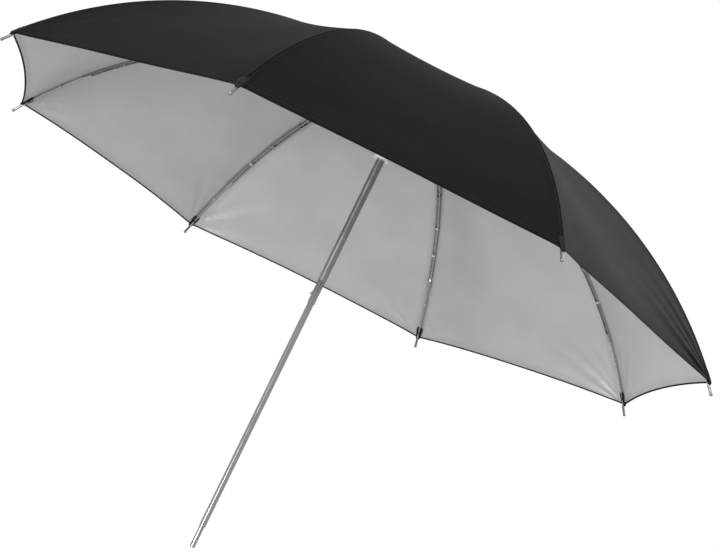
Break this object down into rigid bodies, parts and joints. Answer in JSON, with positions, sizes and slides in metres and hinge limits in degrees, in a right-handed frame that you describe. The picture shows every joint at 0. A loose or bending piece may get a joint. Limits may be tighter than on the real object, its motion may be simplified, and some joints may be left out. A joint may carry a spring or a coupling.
{
  "type": "umbrella reflector",
  "caption": "Collapsible studio umbrella: black canopy with silver lining on a folding steel frame and telescoping shaft.",
  "frame": {"origin": "on the shaft's axis, at the lower end of its 8 mm tube", "axes": "+Z along the shaft towards the canopy, +X towards the first rib"},
  "size_m": [0.974, 0.974, 0.6426],
  "materials": {
    "canopy_fabric": "black woven nylon with a silver coated inner face",
    "chrome_tube": "bright plated tube",
    "satin_tube": "satin plated tube",
    "white_nylon": "moulded",
    "black_plastic": "moulded",
    "spring_steel": "bright",
    "rib_tip_metal": "plated",
    "rib_steel": "plated strip"
  },
  "bodies": {
    "lower_shaft": {"shaft_lower_tube": "chrome_tube", "shaft_end_tip": "chrome_tube", "shaft_guide_bush": "black_plastic"},
    "upper_shaft": {"shaft_upper_tube": "satin_tube", "shaft_liner_tube": "chrome_tube", "crown": "white_nylon", "crown_wire": "spring_steel", "crown_cap": "black_plastic", "canopy_gore_1": "canopy_fabric", "canopy_gore_2": "canopy_fabric", "canopy_gore_3": "canopy_fabric", "canopy_gore_4": "canopy_fabric", "canopy_gore_5": "canopy_fabric", "canopy_gore_6": "canopy_fabric", "canopy_gore_7": "canopy_fabric", "canopy_gore_8": "canopy_fabric"},
    "runner": {"runner": "white_nylon", "runner_wire": "spring_steel"},
    "open_catch": {"open_catch": "spring_steel"},
    "closed_catch": {"closed_catch": "spring_steel"},
    "top_rib_1": {"top_rib_1": "rib_steel"},
    "stretcher_1": {"stretcher_1": "rib_steel"},
    "outer_rib_1": {"outer_rib_1": "rib_steel", "rib_tip_1": "rib_tip_metal"},
    "link_rod_1": {"link_rod_1": "rib_steel"},
    "top_rib_2": {"top_rib_2": "rib_steel"},
    "stretcher_2": {"stretcher_2": "rib_steel"},
    "outer_rib_2": {"outer_rib_2": "rib_steel", "rib_tip_2": "rib_tip_metal"},
    "link_rod_2": {"link_rod_2": "rib_steel"},
    "top_rib_3": {"top_rib_3": "rib_steel"},
    "stretcher_3": {"stretcher_3": "rib_steel"},
    "outer_rib_3": {"outer_rib_3": "rib_steel", "rib_tip_3": "rib_tip_metal"},
    "link_rod_3": {"link_rod_3": "rib_steel"},
    "top_rib_4": {"top_rib_4": "rib_steel"},
    "stretcher_4": {"stretcher_4": "rib_steel"},
    "outer_rib_4": {"outer_rib_4": "rib_steel", "rib_tip_4": "rib_tip_metal"},
    "link_rod_4": {"link_rod_4": "rib_steel"},
    "top_rib_5": {"top_rib_5": "rib_steel"},
    "stretcher_5": {"stretcher_5": "rib_steel"},
    "outer_rib_5": {"outer_rib_5": "rib_steel", "rib_tip_5": "rib_tip_metal"},
    "link_rod_5": {"link_rod_5": "rib_steel"},
    "top_rib_6": {"top_rib_6": "rib_steel"},
    "stretcher_6": {"stretcher_6": "rib_steel"},
    "outer_rib_6": {"outer_rib_6": "rib_steel", "rib_tip_6": "rib_tip_metal"},
    "link_rod_6": {"link_rod_6": "rib_steel"},
    "top_rib_7": {"top_rib_7": "rib_steel"},
    "stretcher_7": {"stretcher_7": "rib_steel"},
    "outer_rib_7": {"outer_rib_7": "rib_steel", "rib_tip_7": "rib_tip_metal"},
    "link_rod_7": {"link_rod_7": "rib_steel"},
    "top_rib_8": {"top_rib_8": "rib_steel"},
    "stretcher_8": {"stretcher_8": "rib_steel"},
    "outer_rib_8": {"outer_rib_8": "rib_steel", "rib_tip_8": "rib_tip_metal"},
    "link_rod_8": {"link_rod_8": "rib_steel"}
  },
  "joints": [
    {"name": "shaft_telescope", "type": "slide", "parent": "lower_shaft", "child": "upper_shaft", "axis": [0, 0, -1], "range_m": [0, 0.247]},
    {"name": "runner_slide", "type": "slide", "parent": "upper_shaft", "child": "runner", "axis": [0, 0, -1], "range_m": [0, 0.198], "deforming": ["canopy_gore_1", "canopy_gore_2", "canopy_gore_3", "canopy_gore_4", "canopy_gore_5", "canopy_gore_6", "canopy_gore_7", "canopy_gore_8"]},
    {"name": "open_catch_press", "type": "slide", "parent": "upper_shaft", "child": "open_catch", "axis": [-0.9239, 0.3827, 0], "range_m": [0, 0.0016], "stiffness_N_per_m": 900, "springref_m": -0.001},
    {"name": "closed_catch_press", "type": "slide", "parent": "upper_shaft", "child": "closed_catch", "axis": [-0.9239, 0.3827, 0], "range_m": [0, 0.0016], "stiffness_N_per_m": 900, "springref_m": -0.001},
    {"name": "top_rib_1_hinge", "type": "hinge", "parent": "upper_shaft", "child": "top_rib_1", "pos_m": [0.011, 0, 0.5965], "axis": [0, -1, 0], "range_deg": [-63.69, 0]},
    {"name": "stretcher_1_hinge", "type": "hinge", "parent": "runner", "child": "stretcher_1", "pos_m": [0.011, 0, 0.51], "axis": [0, -1, 0], "range_deg": [0, 76.36]},
    {"name": "outer_rib_1_hinge", "type": "hinge", "parent": "stretcher_1", "child": "outer_rib_1", "pos_m": [0.254, 0, 0.55789], "axis": [0, -1, 0], "range_deg": [-130.6, 0]},
    {"name": "link_rod_1_hinge", "type": "hinge", "parent": "outer_rib_1", "child": "link_rod_1", "pos_m": [0.24199, 0, 0.56286], "axis": [0, -1, 0], "range_deg": [0, 128.48]},
    {"name": "top_rib_2_hinge", "type": "hinge", "parent": "upper_shaft", "child": "top_rib_2", "pos_m": [0.00778, -0.00778, 0.5965], "axis": [-0.7071, -0.7071, 0], "range_deg": [-63.69, 0]},
    {"name": "stretcher_2_hinge", "type": "hinge", "parent": "runner", "child": "stretcher_2", "pos_m": [0.00778, -0.00778, 0.51], "axis": [-0.7071, -0.7071, 0], "range_deg": [0, 76.36]},
    {"name": "outer_rib_2_hinge", "type": "hinge", "parent": "stretcher_2", "child": "outer_rib_2", "pos_m": [0.17961, -0.17961, 0.55789], "axis": [-0.7071, -0.7071, 0], "range_deg": [-130.6, 0]},
    {"name": "link_rod_2_hinge", "type": "hinge", "parent": "outer_rib_2", "child": "link_rod_2", "pos_m": [0.17111, -0.17111, 0.56286], "axis": [-0.7071, -0.7071, 0], "range_deg": [0, 128.48]},
    {"name": "top_rib_3_hinge", "type": "hinge", "parent": "upper_shaft", "child": "top_rib_3", "pos_m": [0, -0.011, 0.5965], "axis": [-1, 0, 0], "range_deg": [-63.69, 0]},
    {"name": "stretcher_3_hinge", "type": "hinge", "parent": "runner", "child": "stretcher_3", "pos_m": [0, -0.011, 0.51], "axis": [-1, 0, 0], "range_deg": [0, 76.36]},
    {"name": "outer_rib_3_hinge", "type": "hinge", "parent": "stretcher_3", "child": "outer_rib_3", "pos_m": [0, -0.254, 0.55789], "axis": [-1, 0, 0], "range_deg": [-130.6, 0]},
    {"name": "link_rod_3_hinge", "type": "hinge", "parent": "outer_rib_3", "child": "link_rod_3", "pos_m": [0, -0.24199, 0.56286], "axis": [-1, 0, 0], "range_deg": [0, 128.48]},
    {"name": "top_rib_4_hinge", "type": "hinge", "parent": "upper_shaft", "child": "top_rib_4", "pos_m": [-0.00778, -0.00778, 0.5965], "axis": [-0.7071, 0.7071, 0], "range_deg": [-63.69, 0]},
    {"name": "stretcher_4_hinge", "type": "hinge", "parent": "runner", "child": "stretcher_4", "pos_m": [-0.00778, -0.00778, 0.51], "axis": [-0.7071, 0.7071, 0], "range_deg": [0, 76.36]},
    {"name": "outer_rib_4_hinge", "type": "hinge", "parent": "stretcher_4", "child": "outer_rib_4", "pos_m": [-0.17961, -0.17961, 0.55789], "axis": [-0.7071, 0.7071, 0], "range_deg": [-130.6, 0]},
    {"name": "link_rod_4_hinge", "type": "hinge", "parent": "outer_rib_4", "child": "link_rod_4", "pos_m": [-0.17111, -0.17111, 0.56286], "axis": [-0.7071, 0.7071, 0], "range_deg": [0, 128.48]},
    {"name": "top_rib_5_hinge", "type": "hinge", "parent": "upper_shaft", "child": "top_rib_5", "pos_m": [-0.011, 0, 0.5965], "axis": [0, 1, 0], "range_deg": [-63.69, 0]},
    {"name": "stretcher_5_hinge", "type": "hinge", "parent": "runner", "child": "stretcher_5", "pos_m": [-0.011, 0, 0.51], "axis": [0, 1, 0], "range_deg": [0, 76.36]},
    {"name": "outer_rib_5_hinge", "type": "hinge", "parent": "stretcher_5", "child": "outer_rib_5", "pos_m": [-0.254, 0, 0.55789], "axis": [0, 1, 0], "range_deg": [-130.6, 0]},
    {"name": "link_rod_5_hinge", "type": "hinge", "parent": "outer_rib_5", "child": "link_rod_5", "pos_m": [-0.24199, 0, 0.56286], "axis": [0, 1, 0], "range_deg": [0, 128.48]},
    {"name": "top_rib_6_hinge", "type": "hinge", "parent": "upper_shaft", "child": "top_rib_6", "pos_m": [-0.00778, 0.00778, 0.5965], "axis": [0.7071, 0.7071, 0], "range_deg": [-63.69, 0]},
    {"name": "stretcher_6_hinge", "type": "hinge", "parent": "runner", "child": "stretcher_6", "pos_m": [-0.00778, 0.00778, 0.51], "axis": [0.7071, 0.7071, 0], "range_deg": [0, 76.36]},
    {"name": "outer_rib_6_hinge", "type": "hinge", "parent": "stretcher_6", "child": "outer_rib_6", "pos_m": [-0.17961, 0.17961, 0.55789], "axis": [0.7071, 0.7071, 0], "range_deg": [-130.6, 0]},
    {"name": "link_rod_6_hinge", "type": "hinge", "parent": "outer_rib_6", "child": "link_rod_6", "pos_m": [-0.17111, 0.17111, 0.56286], "axis": [0.7071, 0.7071, 0], "range_deg": [0, 128.48]},
    {"name": "top_rib_7_hinge", "type": "hinge", "parent": "upper_shaft", "child": "top_rib_7", "pos_m": [0, 0.011, 0.5965], "axis": [1, 0, 0], "range_deg": [-63.69, 0]},
    {"name": "stretcher_7_hinge", "type": "hinge", "parent": "runner", "child": "stretcher_7", "pos_m": [0, 0.011, 0.51], "axis": [1, 0, 0], "range_deg": [0, 76.36]},
    {"name": "outer_rib_7_hinge", "type": "hinge", "parent": "stretcher_7", "child": "outer_rib_7", "pos_m": [0, 0.254, 0.55789], "axis": [1, 0, 0], "range_deg": [-130.6, 0]},
    {"name": "link_rod_7_hinge", "type": "hinge", "parent": "outer_rib_7", "child": "link_rod_7", "pos_m": [0, 0.24199, 0.56286], "axis": [1, 0, 0], "range_deg": [0, 128.48]},
    {"name": "top_rib_8_hinge", "type": "hinge", "parent": "upper_shaft", "child": "top_rib_8", "pos_m": [0.00778, 0.00778, 0.5965], "axis": [0.7071, -0.7071, 0], "range_deg": [-63.69, 0]},
    {"name": "stretcher_8_hinge", "type": "hinge", "parent": "runner", "child": "stretcher_8", "pos_m": [0.00778, 0.00778, 0.51], "axis": [0.7071, -0.7071, 0], "range_deg": [0, 76.36]},
    {"name": "outer_rib_8_hinge", "type": "hinge", "parent": "stretcher_8", "child": "outer_rib_8", "pos_m": [0.17961, 0.17961, 0.55789], "axis": [0.7071, -0.7071, 0], "range_deg": [-130.6, 0]},
    {"name": "link_rod_8_hinge", "type": "hinge", "parent": "outer_rib_8", "child": "link_rod_8", "pos_m": [0.17111, 0.17111, 0.56286], "axis": [0.7071, -0.7071, 0], "range_deg": [0, 128.48]}
  ],
  "couplings": [
    {"joint": "top_rib_1_hinge", "follows": "runner_slide", "rad_per_m": -5.613},
    {"joint": "stretcher_1_hinge", "follows": "runner_slide", "rad_per_m": 6.7298},
    {"joint": "outer_rib_1_hinge", "follows": "runner_slide", "rad_per_m": -11.511},
    {"joint": "link_rod_1_hinge", "follows": "runner_slide", "rad_per_m": 11.324},
    {"joint": "top_rib_2_hinge", "follows": "runner_slide", "rad_per_m": -5.613},
    {"joint": "stretcher_2_hinge", "follows": "runner_slide", "rad_per_m": 6.7298},
    {"joint": "outer_rib_2_hinge", "follows": "runner_slide", "rad_per_m": -11.511},
    {"joint": "link_rod_2_hinge", "follows": "runner_slide", "rad_per_m": 11.324},
    {"joint": "top_rib_3_hinge", "follows": "runner_slide", "rad_per_m": -5.613},
    {"joint": "stretcher_3_hinge", "follows": "runner_slide", "rad_per_m": 6.7298},
    {"joint": "outer_rib_3_hinge", "follows": "runner_slide", "rad_per_m": -11.511},
    {"joint": "link_rod_3_hinge", "follows": "runner_slide", "rad_per_m": 11.324},
    {"joint": "top_rib_4_hinge", "follows": "runner_slide", "rad_per_m": -5.613},
    {"joint": "stretcher_4_hinge", "follows": "runner_slide", "rad_per_m": 6.7298},
    {"joint": "outer_rib_4_hinge", "follows": "runner_slide", "rad_per_m": -11.511},
    {"joint": "link_rod_4_hinge", "follows": "runner_slide", "rad_per_m": 11.324},
    {"joint": "top_rib_5_hinge", "follows": "runner_slide", "rad_per_m": -5.613},
    {"joint": "stretcher_5_hinge", "follows": "runner_slide", "rad_per_m": 6.7298},
    {"joint": "outer_rib_5_hinge", "follows": "runner_slide", "rad_per_m": -11.511},
    {"joint": "link_rod_5_hinge", "follows": "runner_slide", "rad_per_m": 11.324},
    {"joint": "top_rib_6_hinge", "follows": "runner_slide", "rad_per_m": -5.613},
    {"joint": "stretcher_6_hinge", "follows": "runner_slide", "rad_per_m": 6.7298},
    {"joint": "outer_rib_6_hinge", "follows": "runner_slide", "rad_per_m": -11.511},
    {"joint": "link_rod_6_hinge", "follows": "runner_slide", "rad_per_m": 11.324},
    {"joint": "top_rib_7_hinge", "follows": "runner_slide", "rad_per_m": -5.613},
    {"joint": "stretcher_7_hinge", "follows": "runner_slide", "rad_per_m": 6.7298},
    {"joint": "outer_rib_7_hinge", "follows": "runner_slide", "rad_per_m": -11.511},
    {"joint": "link_rod_7_hinge", "follows": "runner_slide", "rad_per_m": 11.324},
    {"joint": "top_rib_8_hinge", "follows": "runner_slide", "rad_per_m": -5.613},
    {"joint": "stretcher_8_hinge", "follows": "runner_slide", "rad_per_m": 6.7298},
    {"joint": "outer_rib_8_hinge", "follows": "runner_slide", "rad_per_m": -11.511},
    {"joint": "link_rod_8_hinge", "follows": "runner_slide", "rad_per_m": 11.324}
  ]
}
